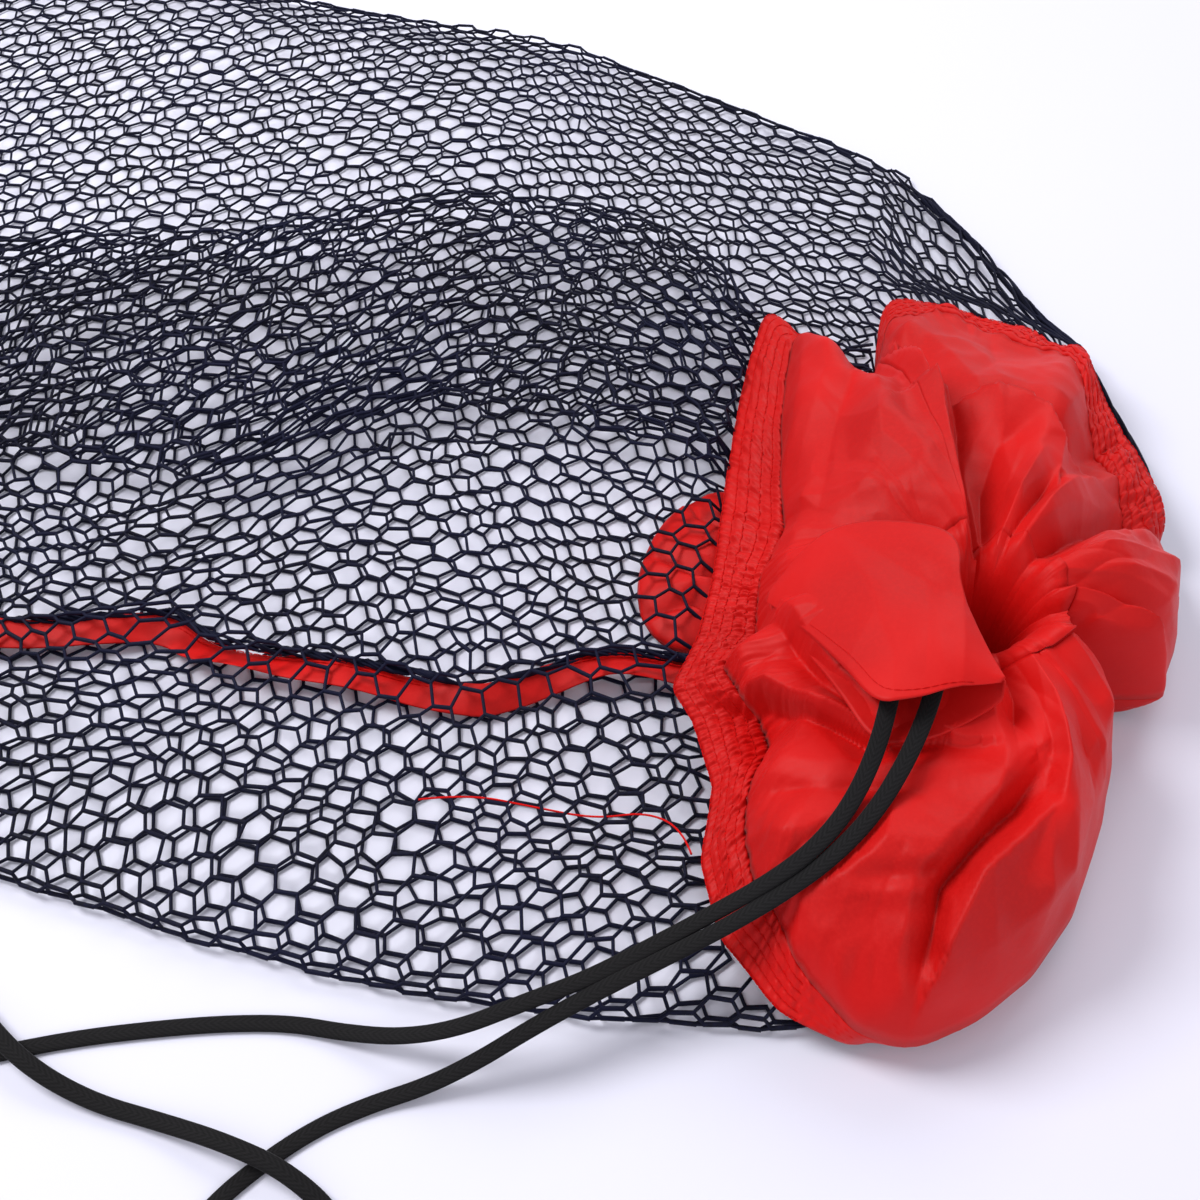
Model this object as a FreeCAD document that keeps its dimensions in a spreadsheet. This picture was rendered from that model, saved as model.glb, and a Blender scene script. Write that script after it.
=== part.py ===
# Drawstring net carry sack of a lawn-game set, lying flat with its fabric collar drawn shut.
# Millimetres, +Z up. X runs along the sack from its base to its collar, Y across it.
# The origin is the middle of the sack's footprint, on the ground.
import FreeCAD
import Part
import math
import os
import re

V = FreeCAD.Vector

doc = FreeCAD.newDocument("net_sack")

# ---------------------------------------------------------------- driving dimensions
SIZES = [
    ("sack_length", 900),        # base binding to the collar's outer end
    ("sack_width", 566),         # fold to fold, lying flat
    ("sack_height", 18),         # the springy net, as it lies
    ("net_layer", 3),            # thickness given to one layer of net
    ("tape_width", 14),          # seam tape
    ("tape_layer", 1.2),
    ("pleat_layer", 4),          # net folded over on itself
    ("collar_left", 121),        # reach of the collar from the mouth, each way
    ("collar_right", 72),
    ("collar_near", 156),
    ("collar_far", 200),
    ("collar_wall", 2.5),
    ("waist_percent", 88),       # the collar's size at its waist, shoulder, cheek and crown
    ("shoulder_percent", 77),
    ("cheek_percent", 55),
    ("crown_percent", 30),
    ("throat_percent", 84),      # net gathered inside the joining band
    ("band_rise", 9),            # joining band, a sloping brim between net and collar
    ("shoulder_rise", 17),
    ("cheek_rise", 12),
    ("crown_rise", 6),
    ("mouth_x", 378),            # middle of the mouth
    ("mouth_y", -100),
    ("mouth_ring", 24),          # centre line of the hem channel
    ("channel_radius", 7),
    ("channel_wall", 1.4),
    ("cord_section", 4),         # round section with the flat braid's own area
    ("sleeve_x", 360),           # fold of the hem from which both cord legs come out
    ("sleeve_y", -128),
    ("sleeve_across", 46),
    ("sleeve_along", 38),
    ("sleeve_deep", 13),
    ("sleeve_gap_across", 30),
    ("sleeve_gap_deep", 8),
    ("stitch_section", 1),
    ("knot_long", 18),
    ("knot_deep", 9),
]


ALIASES = {alias for alias, _ in SIZES}


def make_sheet():
    sheet = doc.addObject("Spreadsheet::Sheet", "Sizes")
    for row, (alias, value) in enumerate(SIZES, start=1):
        sheet.set("A%d" % row, alias)
        sheet.set("B%d" % row, str(value))
        sheet.setAlias("B%d" % row, alias)
    doc.recompute()
    return sheet


sheet = make_sheet()
nodes = []


def size(alias):
    return float(sheet.get(alias))


def bind(obj, **expressions):
    """Bind properties to the sheet; a double underscore in a name stands for a dot."""
    for name, text in expressions.items():
        words = re.findall(r"[A-Za-z_]+|[^A-Za-z_]+", text)
        named = ["Sizes." + word if word in ALIASES else word for word in words]
        obj.setExpression(name.replace("__", "."), "".join(named))
    return obj


def node(obj, label):
    obj.Label = label
    nodes.append(obj)
    return obj


def shaped(label, shape):
    obj = doc.addObject("Part::Feature", label)
    obj.Shape = shape
    obj.Placement = FreeCAD.Placement()
    return node(obj, label)


# ---------------------------------------------------------------- heights
top_of_net = size("sack_height")
band_top = top_of_net + size("band_rise")
shoulder_top = band_top + size("shoulder_rise")
cheek_top = shoulder_top + size("cheek_rise")
crown_top = cheek_top + size("crown_rise")
channel_z = crown_top + size("channel_radius")
half_length = size("sack_length") / 2
half_width = size("sack_width") / 2
sack_end = half_length - size("net_layer")


# ---------------------------------------------------------------- the net
def sack_outline(inset=0.0):
    """Closed outline of the sack lying flat: square at the base, drawn in towards the collar."""
    w = half_width
    poles = [
        (-sack_end, 0), (-sack_end, -0.5 * w), (-sack_end, -0.9 * w), (-0.9 * sack_end, -w),
        (-0.5 * sack_end, -w), (0, -w), (0.3 * sack_end, -w), (0.55 * sack_end, -w),
        (0.76 * sack_end, -0.95 * w), (0.93 * sack_end, -0.78 * w), (sack_end, -0.45 * w),
        (sack_end, -0.2 * w), (sack_end, 0.05 * w), (0.9 * sack_end, 0.42 * w),
        (0.76 * sack_end, 0.72 * w),
        (0.6 * sack_end, 0.88 * w), (0.38 * sack_end, w), (0.1 * sack_end, w),
        (-0.3 * sack_end, w), (-0.6 * sack_end, w), (-0.9 * sack_end, w),
        (-sack_end, 0.9 * w), (-sack_end, 0.5 * w),
    ]
    shrink_x = 1 - inset / sack_end
    shrink_y = 1 - inset / w
    curve = Part.BSplineCurve()
    curve.buildFromPoles([V(x * shrink_x, y * shrink_y, 0) for x, y in poles], True, 3)
    return Part.Wire(curve.toShape())


def slab(outline, low, high):
    face = Part.Face(outline)
    face.translate(V(0, 0, low))
    return face.extrude(V(0, 0, high - low))


def collar_outline(percent, z, inset=0.0):
    """Closed outline of the collar about its mouth: longest where it lies over the net."""
    left, right = size("collar_left"), size("collar_right")
    near, far = size("collar_near"), size("collar_far")
    poles = [
        (-left, 0.9 * far), (-left, 0.55 * far), (-0.86 * left, 0.1 * far),
        (-0.82 * left, -0.35 * near), (-0.62 * left, -0.75 * near), (-0.3 * left, -near),
        (0.2 * right, -near), (0.66 * right, -0.8 * near), (right, -0.4 * near),
        (right, 0), (right, 0.3 * far), (0.6 * right, 0.7 * far), (0.2 * right, far),
        (-0.4 * left, far), (-0.8 * left, far),
    ]
    share = percent / 100 * (1 - inset / right)
    curve = Part.BSplineCurve()
    curve.buildFromPoles([V(size("mouth_x") + x * share, size("mouth_y") + y * share, z)
                          for x, y in poles], True, 3)
    return Part.Wire(curve.toShape())


def collar_prism(percent, low, high, inset=0.0):
    face = Part.Face(collar_outline(percent, low, inset))
    return face.extrude(V(0, 0, high - low))


def net_layers():
    t = size("net_layer")
    shaped("net_lower_layer", slab(sack_outline(), 0, t))
    shell = slab(sack_outline(), t, top_of_net)
    shell = shell.cut(slab(sack_outline(t), t, top_of_net - t))
    throat = collar_prism(size("throat_percent"), 0, top_of_net + 1)
    shaped("net_upper_layer", shell.cut(throat))


def pleat():
    """Net folded back on itself on top of the sack, ending in a rounded nose near the collar."""
    low = top_of_net
    high = low + size("pleat_layer")
    length = 640
    nose = V(262, 45, low)
    half = 72
    points = [
        V(nose.x - length, nose.y - half, low), V(nose.x - half, nose.y - half, low),
        V(nose.x - half, nose.y + half, low), V(nose.x - length, nose.y + half, low),
    ]
    edges = [
        Part.LineSegment(points[0], points[1]).toShape(),
        Part.Arc(points[1], nose, points[2]).toShape(),
        Part.LineSegment(points[2], points[3]).toShape(),
        Part.LineSegment(points[3], points[0]).toShape(),
    ]
    body = Part.Face(Part.Wire(edges)).extrude(V(0, 0, high - low))
    room = collar_prism(100, low - 1, high + 1, inset=-4)
    shaped("net_folded_pleat", body.cut(room))


# ---------------------------------------------------------------- seams and tapes
def strip(points, width, low, high):
    """Flat strip of even width along a line of points."""
    left, right = [], []
    for i, point in enumerate(points):
        before = points[max(i - 1, 0)]
        after = points[min(i + 1, len(points) - 1)]
        along = V(after[0] - before[0], after[1] - before[1], 0)
        along.normalize()
        across = V(-along.y, along.x, 0) * (width / 2)
        left.append(V(point[0], point[1], low) + across)
        right.append(V(point[0], point[1], low) - across)
    ring = left + right[::-1] + left[:1]
    return Part.Face(Part.makePolygon(ring)).extrude(V(0, 0, high - low))


SIDE_SEAM = [(-436, -206), (-250, -210), (-90, -205), (20, -190), (84, -154), (154, -158),
             (214, -149), (258, -118)]


def seams():
    under_net = top_of_net - size("net_layer")
    tape_low = under_net - 0.3 - size("tape_layer")
    shaped("side_seam_tape", strip(SIDE_SEAM, size("tape_width"), tape_low, under_net - 0.3))
    stitch_line = [(x, y + 4) for x, y in SIDE_SEAM]
    shaped("side_seam_stitching",
           strip(stitch_line, size("stitch_section"), tape_low - 0.9, tape_low))
    base = bind(doc.addObject("Part::Box", "base_seam_binding"),
                Length="net_layer", Width="sack_width * 0.86", Height="sack_height - net_layer",
                Placement__Base__x="-sack_length / 2", Placement__Base__y="-sack_width * 0.43",
                Placement__Base__z="net_layer / 2")
    node(base, "base_seam_binding")
    stitches = doc.addObject("Part::Box", "base_seam_stitching")
    bind(stitches, Length="net_layer / 3", Width="sack_width * 0.8", Height="stitch_section",
         Placement__Base__x="net_layer - sack_length / 2 - net_layer / 3",
         Placement__Base__y="-sack_width * 0.4", Placement__Base__z="sack_height - net_layer / 2")
    node(stitches, "base_seam_stitching")


# ---------------------------------------------------------------- the collar
def ring_loft(sections, wall):
    """Hollow ring through the collar's outlines (percent, z)."""
    def loft(inset):
        return Part.makeLoft([collar_outline(percent, z, inset) for percent, z in sections],
                             True, True)
    return loft(0).cut(loft(wall))


def collar():
    waist = size("waist_percent")
    crown = size("crown_percent")
    band = ring_loft([(100, top_of_net), (waist, band_top)], 3.5)
    shaped("joining_band", band)
    rows = []
    for i in range(4):
        z = top_of_net + 1.5 + 2 * i
        percent = 100 - (100 - waist) * (z - top_of_net) / size("band_rise")
        ring = collar_prism(percent, z - 0.4, z + 0.4, inset=-0.7)
        rows.append(ring.cut(collar_prism(percent, z - 1, z + 1, inset=-0.1)))
    shaped("band_stitch_rows", Part.makeCompound(rows))
    panel = ring_loft([(waist, band_top), (size("shoulder_percent"), shoulder_top),
                       (size("cheek_percent"), cheek_top), (crown, crown_top)],
                      size("collar_wall"))
    lid = collar_prism(crown, crown_top - size("collar_wall"), crown_top)
    seat = size("mouth_ring") - size("channel_radius")
    hole = Part.makeCylinder(seat, 40, V(size("mouth_x"), size("mouth_y"), crown_top - 20))
    panel = panel.fuse(lid).cut(hole).removeSplitter()
    middle = size("mouth_y") + 22
    near = Part.makeBox(300, 300, 200, V(200, middle - 300, 0))
    far = Part.makeBox(300, 300, 200, V(200, middle, 0))
    shaped("collar_near_panel", panel.common(near))
    shaped("collar_far_panel", panel.common(far))


def hem():
    """Hem channel round the mouth, its stitching, the cord inside it and its folded-out end."""
    outer = doc.addObject("Part::Torus", "channel_outside")
    bind(outer, Radius1="mouth_ring", Radius2="channel_radius",
         Placement__Base__x="mouth_x", Placement__Base__y="mouth_y")
    outer.setExpression("Placement.Base.z", "%s" % HEIGHT_OF_CHANNEL)
    inner = doc.addObject("Part::Torus", "channel_inside")
    bind(inner, Radius1="mouth_ring", Radius2="channel_radius - channel_wall",
         Placement__Base__x="mouth_x", Placement__Base__y="mouth_y")
    inner.setExpression("Placement.Base.z", "%s" % HEIGHT_OF_CHANNEL)
    tube = doc.addObject("Part::Cut", "channel_tube")
    tube.Base = outer
    tube.Tool = inner
    room = doc.addObject("Part::Box", "sleeve_room")
    bind(room, Length="sleeve_across", Width="sleeve_along", Height="sleeve_deep + 14",
         Placement__Base__x="sleeve_x - sleeve_across / 2",
         Placement__Base__y="sleeve_y - sleeve_along / 2")
    room.setExpression("Placement.Base.z", "%s - 7" % HEIGHT_OF_CHANNEL)
    channel = doc.addObject("Part::Cut", "hem_channel")
    channel.Base = tube
    channel.Tool = room
    node(channel, "hem_channel")

    sleeve_outside = doc.addObject("Part::Box", "sleeve_outside")
    bind(sleeve_outside, Length="sleeve_across", Width="sleeve_along", Height="sleeve_deep",
         Placement__Base__x="sleeve_x - sleeve_across / 2",
         Placement__Base__y="sleeve_y - sleeve_along / 2")
    sleeve_outside.setExpression("Placement.Base.z", "%s - 2.5" % HEIGHT_OF_CHANNEL)
    gap = doc.addObject("Part::Box", "sleeve_gap")
    bind(gap, Length="sleeve_gap_across", Width="sleeve_along + 2", Height="sleeve_gap_deep",
         Placement__Base__x="sleeve_x - sleeve_gap_across / 2",
         Placement__Base__y="sleeve_y - sleeve_along / 2 - 1")
    gap.setExpression("Placement.Base.z", "%s" % HEIGHT_OF_CHANNEL)
    sleeve = doc.addObject("Part::Cut", "hem_cord_sleeve")
    sleeve.Base = sleeve_outside
    sleeve.Tool = gap
    node(sleeve, "hem_cord_sleeve")

    cord = doc.addObject("Part::Torus", "drawcord_in_channel")
    bind(cord, Radius1="mouth_ring", Radius2="cord_section / 2",
         Placement__Base__x="mouth_x", Placement__Base__y="mouth_y")
    cord.setExpression("Placement.Base.z", "%s" % HEIGHT_OF_CHANNEL)
    cord.Angle3 = 215
    cord.Placement.Rotation = FreeCAD.Rotation(V(0, 0, 1), -62)
    node(cord, "drawcord_in_channel")

    stitches = doc.addObject("Part::Torus", "hem_stitch_row")
    bind(stitches, Radius1="mouth_ring + channel_radius + stitch_section / 2 + 0.1",
         Radius2="stitch_section / 2", Placement__Base__x="mouth_x",
         Placement__Base__y="mouth_y")
    stitches.setExpression("Placement.Base.z", "%s" % HEIGHT_OF_CHANNEL)
    stitches.Angle3 = 215
    stitches.Placement.Rotation = FreeCAD.Rotation(V(0, 0, 1), -62)
    node(stitches, "hem_stitch_row")


HEIGHT_OF_CHANNEL = ("Sizes.sack_height + Sizes.band_rise + Sizes.shoulder_rise"
                     " + Sizes.cheek_rise + Sizes.crown_rise + Sizes.channel_radius")

# ---------------------------------------------------------------- the drawcord
# Both legs come straight out of the hem's fold, down over the collar side by side and over the
# sack's near edge. Leg A runs out, round a loop and back under the knot's other side; leg B goes
# straight to the knot.
LEG_A = [
    (354, -112, 73), (354, -136, 73), (355, -159, 72.4), (355, -179, 67), (351, -198, 59),
    (343, -212, 51.5), (332, -222, 42.5), (318, -232, 33), (302, -246, 27), (285, -263, 25),
    (268, -277, 24.5), (251, -288, 18), (233, -293, 9.5), (214, -295, 3.8), (194, -297, 2.2),
    (173, -304, 2.2),
    (152, -313, 2.2), (131, -323, 2.2), (110, -335, 2.2), (88, -349, 2.2), (66, -352, 2.2),
    (51, -337, 2.2), (60, -318, 2.2), (82, -317, 4.5), (102, -329, 8), (123, -338, 7.5),
    (146, -341, 3.5), (170, -340, 3.5), (193, -341, 8), (215, -343, 8), (235, -350, 3.5),
    (247, -366, 2.2), (244, -385, 2.4), (231, -398, 3.4), (219, -401, 4.2),
]
LEG_B = [
    (368, -112, 73), (368, -136, 73), (368, -159, 72.4), (366, -179, 67), (361, -199, 60),
    (352, -215, 52), (340, -227, 43), (325, -239, 33.5), (308, -253, 27), (291, -270, 25),
    (276, -286, 21.5), (261, -296, 12), (245, -304, 4.6), (230, -314, 2.2), (217, -326, 2.2),
    (206, -341, 2.2), (197, -357, 2.2), (192, -376, 2.4), (198, -392, 3.4), (211, -401, 4.2),
]
KNOT = (216, -401, 4.8)
TAIL_A = [(212, -404, 4.2), (207, -414, 2.6), (199, -422, 2.2), (189, -427, 2.2)]
TAIL_B = [(221, -404, 4.2), (227, -413, 2.6), (235, -420, 2.2), (246, -423, 2.2)]


def cord_path(points):
    """Straight runs joined by tangent arcs, each as large as its two runs allow."""
    corners = [V(*point) for point in points]
    edges, radii = [], []
    start = corners[0]
    for before, corner, after in zip(corners, corners[1:], corners[2:]):
        back = (before - corner)
        ahead = (after - corner)
        reach = 0.45 * min(back.Length, ahead.Length)
        back.normalize()
        ahead.normalize()
        half_turn = (math.pi - back.getAngle(ahead)) / 2
        radius = reach / math.tan(half_turn)
        inward = back + ahead
        inward.normalize()
        centre = corner + inward * (radius / math.cos(half_turn))
        first = corner + back * reach
        last = corner + ahead * reach
        edges.append(Part.LineSegment(start, first).toShape())
        edges.append(Part.Arc(first, centre - inward * radius, last).toShape())
        radii.append(radius)
        start = last
    edges.append(Part.LineSegment(start, corners[-1]).toShape())
    return Part.Wire(edges), radii


def cord_tube(label, points):
    path, radii = cord_path(points)
    radius = size("cord_section") / 2
    along = V(*points[1]) - V(*points[0])
    ring = Part.Wire(Part.makeCircle(radius, V(*points[0]), along))
    shell = Part.BRepOffsetAPI.MakePipeShell(path)
    shell.setFrenetMode(True)
    shell.add(ring)
    shell.build()
    shell.makeSolid()
    tube = shell.shape()
    share = tube.Volume / (math.pi * radius ** 2 * path.Length)
    print("%s: %.0f mm long, tightest bend %.1f mm, volume / (section x length) %.3f"
          % (label, path.Length, min(radii), share))
    return shaped(label, tube)


def knot():
    body = doc.addObject("Part::Ellipsoid", "drawcord_knot")
    bind(body, Radius1="knot_deep / 2", Radius2="knot_long / 2", Radius3="knot_deep / 2 + 1.5")
    body.Placement.Base = V(*KNOT)
    node(body, "drawcord_knot")


def loose_thread():
    """Short end of seam thread lying inside the sack, beside the collar."""
    line = [(205, -211), (222, -203), (246, -201), (269, -200), (289, -194)]
    low = size("net_layer")
    shaped("loose_seam_thread", strip(line, 0.8, low, low + 0.8))


net_layers()
pleat()
seams()
collar()
hem()
cord_tube("drawcord_leg_a", LEG_A)
cord_tube("drawcord_leg_b", LEG_B)
cord_tube("drawcord_tail_a", TAIL_A)
cord_tube("drawcord_tail_b", TAIL_B)
knot()
loose_thread()

# ---------------------------------------------------------------- check and write
doc.recompute()
for obj in doc.Objects:
    if "Invalid" in obj.State or "Error" in obj.State:
        raise RuntimeError("%s failed: %s" % (obj.Label, obj.State))
for obj in nodes:
    if obj.Shape.isNull() or not obj.Shape.isValid():
        raise RuntimeError("%s has no valid shape" % obj.Label)

os.makedirs("parts", exist_ok=True)
for obj in nodes:
    obj.Shape.exportStep("parts/%s.step" % obj.Label)
    box = obj.Shape.BoundBox
    print("%-22s %8.0f mm3  x %.0f..%.0f  y %.0f..%.0f  z %.1f..%.1f" % (
        obj.Label, obj.Shape.Volume, box.XMin, box.XMax, box.YMin, box.YMax,
        box.ZMin, box.ZMax))
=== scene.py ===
"""Drawstring net carry sack of a lawn-game set: netting, gathered collar, seam tape and drawcord."""
import math

import bmesh
import bpy
import numpy as np
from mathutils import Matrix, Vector, noise


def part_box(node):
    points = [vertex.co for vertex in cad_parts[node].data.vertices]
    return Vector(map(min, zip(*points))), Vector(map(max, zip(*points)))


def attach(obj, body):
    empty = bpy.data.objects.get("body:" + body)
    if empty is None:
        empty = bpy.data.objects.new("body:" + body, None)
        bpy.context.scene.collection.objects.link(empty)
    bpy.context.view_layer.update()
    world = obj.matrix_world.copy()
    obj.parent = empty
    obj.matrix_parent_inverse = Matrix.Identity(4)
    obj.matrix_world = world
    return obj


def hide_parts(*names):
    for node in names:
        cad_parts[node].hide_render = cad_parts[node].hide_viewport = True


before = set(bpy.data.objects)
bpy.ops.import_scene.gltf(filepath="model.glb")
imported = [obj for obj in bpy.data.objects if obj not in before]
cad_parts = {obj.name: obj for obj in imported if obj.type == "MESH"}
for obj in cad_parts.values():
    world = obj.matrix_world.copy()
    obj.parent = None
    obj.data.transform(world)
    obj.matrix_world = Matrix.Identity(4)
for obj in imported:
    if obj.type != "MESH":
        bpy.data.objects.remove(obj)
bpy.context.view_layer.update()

bl_info = {
    "name": "Net carry sack",
    "version": (1, 0, 0),
    "blender": (4, 5, 0),
    "location": "View3D > Sidebar > Net sack",
    "description": "Builds a drawstring net carry sack lying flat",
    "category": "Add Mesh",
}

MM = 0.001


# ---------------------------------------------------------------- sizes and colours
class SackSizes(bpy.types.PropertyGroup):
    cell: bpy.props.FloatProperty(
        name="Cell side", description="Side of one six-sided cell of net",
        default=0.0072, unit="LENGTH")
    long_bar: bpy.props.FloatProperty(
        name="Long bar", description="Radius of the doubled bars that run along the sack",
        default=0.00090, unit="LENGTH")
    cross_bar: bpy.props.FloatProperty(
        name="Cross bar", description="Radius of the slanting bars", default=0.00068,
        unit="LENGTH")
    cord_width: bpy.props.FloatProperty(
        name="Cord width", description="Width of the flat braid", default=0.006,
        unit="LENGTH")
    cord_thickness: bpy.props.FloatProperty(
        name="Cord thickness", description="Thickness of the flat braid", default=0.0019,
        unit="LENGTH")
    tape_width: bpy.props.FloatProperty(
        name="Tape width", description="Width of the seam tape", default=0.0125, unit="LENGTH")


class SackColours(bpy.types.PropertyGroup):
    fabric: bpy.props.FloatVectorProperty(
        name="Fabric", description="Collar fabric", subtype="COLOR", size=3,
        default=(0.56, 0.0030, 0.0026))
    net: bpy.props.FloatVectorProperty(
        name="Net", description="Netting", subtype="COLOR", size=3,
        default=(0.0034, 0.0036, 0.0125))
    braid: bpy.props.FloatVectorProperty(
        name="Braid", description="Drawcord", subtype="COLOR", size=3,
        default=(0.0050, 0.0044, 0.0052))
    floor: bpy.props.FloatVectorProperty(
        name="Floor", description="Plain pale floor", subtype="COLOR", size=3,
        default=(0.75, 0.745, 0.86))


def sizes():
    return bpy.context.scene.sack_sizes


def colours():
    return bpy.context.scene.sack_colours


# ---------------------------------------------------------------- shader maths
class Value:
    """One number in a shader: sums and products of values add Math nodes."""

    def __init__(self, shader, socket):
        self.shader = shader
        self.socket = socket

    def maths(self, operation, *others):
        node = self.shader.tree.nodes.new("ShaderNodeMath")
        node.operation = operation
        for socket, item in zip(node.inputs, (self,) + others):
            self.shader.feed(socket, item)
        return Value(self.shader, node.outputs[0])

    def reversed_maths(self, operation, other):
        node = self.shader.tree.nodes.new("ShaderNodeMath")
        node.operation = operation
        self.shader.feed(node.inputs[0], other)
        self.shader.feed(node.inputs[1], self)
        return Value(self.shader, node.outputs[0])

    def __add__(self, other):
        return self.maths("ADD", other)

    def __radd__(self, other):
        return self.maths("ADD", other)

    def __sub__(self, other):
        return self.maths("SUBTRACT", other)

    def __rsub__(self, other):
        return self.reversed_maths("SUBTRACT", other)

    def __mul__(self, other):
        return self.maths("MULTIPLY", other)

    def __rmul__(self, other):
        return self.maths("MULTIPLY", other)

    def __truediv__(self, other):
        return self.maths("DIVIDE", other)


class Shader:
    """A node material: one method adds any node, and dress() fills the surface shader."""

    def __init__(self, name):
        self.material = bpy.data.materials.new(name)
        self.material.use_nodes = True
        self.tree = self.material.node_tree
        self.surface = self.tree.nodes["Principled BSDF"]

    def feed(self, socket, item):
        if isinstance(item, Value):
            item = item.socket
        if isinstance(item, bpy.types.NodeSocket):
            self.tree.links.new(item, socket)
        else:
            socket.default_value = item

    def node(self, kind, output=0, settings=None, **inputs):
        node = self.tree.nodes.new("ShaderNode" + kind)
        for key, value in (settings or {}).items():
            setattr(node, key, value)
        for key, item in inputs.items():
            self.feed(node.inputs[key.replace("_", " ")], item)
        return Value(self, node.outputs[output])

    def mix(self, factor, first, second):
        node = self.tree.nodes.new("ShaderNodeMix")
        node.data_type = "RGBA"
        self.feed(node.inputs[0], factor)
        self.feed(node.inputs[6], first)
        self.feed(node.inputs[7], second)
        return Value(self, node.outputs[2])

    def ramp(self, value, low, high):
        """0 below low, 1 above high, smooth between."""
        return self.node("MapRange", settings={"interpolation_type": "SMOOTHSTEP"},
                         Value=value, From_Min=low, From_Max=high)

    def split(self, vector):
        node = self.tree.nodes.new("ShaderNodeSeparateXYZ")
        self.feed(node.inputs[0], vector)
        return [Value(self, out) for out in node.outputs]

    def bump(self, height, distance, strength=1.0):
        return self.node("Bump", Height=height, Distance=distance, Strength=strength)

    def dress(self, **inputs):
        for key, item in inputs.items():
            self.feed(self.surface.inputs[key.replace("_", " ")], item)
        return self.material


def rgba(colour, shade=1.0):
    return tuple(min(1.0, channel * shade) for channel in colour) + (1.0,)


def braid_material():
    """Flat braid: slanting plaits that meet along the middle, a little fuzzy, with painted shade in
    their grooves.
    """
    s = Shader("flat_braid")
    along, across, _ = s.split(s.node("UVMap", settings={"uv_map": "UVMap"}))
    slope = (across - 0.5).maths("ABSOLUTE")
    plait = (along * 420.0 + slope * 5.0).maths("FRACT") - 0.5
    plait = plait.maths("ABSOLUTE") * 2.0
    wale = (across * 10.0).maths("FRACT") - 0.5
    wale = wale.maths("ABSOLUTE") * 2.0
    place = s.node("TexCoord", 3)
    fuzz = s.node("TexNoise", settings={"noise_dimensions": "3D"}, Vector=place, Scale=1400.0,
                  Detail=3.0)
    height = plait * 0.6 + wale * 0.3 + fuzz * 0.5
    # painted shade: the colour is darker where the plaits and wales dip, in the grooves where shade
    # falls
    shade = s.ramp(height, 0.2, 1.25)
    base = colours().braid
    return s.dress(
        Base_Color=s.mix(shade, rgba(base, 0.5), rgba(base, 1.5)),
        Roughness=0.86 - shade * 0.1,
        Normal=s.bump(height, 0.00016, 0.6),
        Sheen_Weight=0.05, Sheen_Roughness=0.5, Specular_IOR_Level=0.2)


def net_material():
    """Knitted polyester bars: dark, blue-black, with a slight grain along each bar."""
    s = Shader("sack_netting")
    place = s.node("TexCoord", 3)
    grain = s.node("TexNoise", settings={"noise_dimensions": "3D"}, Vector=place, Scale=900.0,
                   Detail=2.0)
    patches = s.node("TexNoise", settings={"noise_dimensions": "3D"}, Vector=place, Scale=14.0,
                     Detail=1.0)
    base = colours().net
    tone = s.mix(s.ramp(grain, 0.3, 0.7), rgba(base, 0.6), rgba(base, 2.0))
    return s.dress(
        Base_Color=s.mix(s.ramp(patches, 0.35, 0.7), tone, rgba((0.0045, 0.0055, 0.024))),
        Roughness=0.55 + grain * 0.3,
        Normal=s.bump(grain, 0.0002, 0.6),
        Specular_IOR_Level=0.16)


def fabric_material():
    """Satin-faced taffeta: fine crossed threads, small slubs and a soft shine."""
    threads_per_metre = 2600.0
    s = Shader("collar_taffeta")
    along, across, _ = s.split(s.node("UVMap", settings={"uv_map": "UVMap"}))
    place = s.node("TexCoord", 3)
    warp = ((along * threads_per_metre).maths("FRACT") - 0.5).maths("ABSOLUTE") * 2.0
    weft = ((across * threads_per_metre).maths("FRACT") - 0.5).maths("ABSOLUTE") * 2.0
    weave = warp.maths("MAXIMUM", weft)
    slub = s.node("TexNoise", settings={"noise_dimensions": "3D"}, Vector=place, Scale=700.0,
                  Detail=3.0, Roughness=0.6)
    crumple = s.node("TexNoise", settings={"noise_dimensions": "3D"}, Vector=place, Scale=75.0,
                     Detail=4.0, Roughness=0.55)
    cloud = s.node("TexNoise", settings={"noise_dimensions": "3D"}, Vector=place, Scale=16.0,
                   Detail=2.0)
    base = colours().fabric
    tone = s.mix(s.ramp(cloud, 0.3, 0.72), rgba(base, 0.86), rgba(base, 1.10))
    tone = s.mix(s.ramp(slub, 0.35, 0.75) * 0.35, tone, rgba((0.62, 0.009, 0.007)))
    height = weave * 0.18 + slub * 0.25
    fine = s.bump(height, 0.00012, 0.5)
    return s.dress(
        Base_Color=tone,
        Roughness=0.42 + slub * 0.16 + crumple * 0.06,
        Normal=s.node("Bump", Height=crumple, Distance=0.0011, Strength=0.34, Normal=fine),
        Sheen_Weight=0.03, Sheen_Roughness=0.4, Specular_IOR_Level=0.19)


def thread_material():
    """Sewing thread in the fabric's own colour: a twisted strand, with painted shade in the grooves
    of its twist.
    """
    s = Shader("sewing_thread")
    place = s.node("TexCoord", 3)
    twist = s.node("TexWave", settings={"wave_type": "BANDS", "bands_direction": "DIAGONAL"},
                   Vector=place, Scale=900.0, Distortion=1.0)
    base = colours().fabric
    return s.dress(
        # painted shade: the colour is darker in the low bands of the twist, where the bump makes
        # grooves
        Base_Color=s.mix(twist, rgba(base, 0.85), rgba(base, 1.25)),
        Roughness=0.6 + twist * 0.15, Normal=s.bump(twist, 0.0001, 0.5),
        Specular_IOR_Level=0.1)


def floor_material():
    s = Shader("studio_floor")
    place = s.node("TexCoord", 3)
    mottle = s.node("TexNoise", settings={"noise_dimensions": "3D"}, Vector=place, Scale=3.0,
                    Detail=1.0)
    base = colours().floor
    return s.dress(Base_Color=s.mix(mottle, rgba(base, 0.99), rgba(base, 1.01)), Roughness=0.8,
                   Specular_IOR_Level=0.1)


MATERIALS = {}


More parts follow.
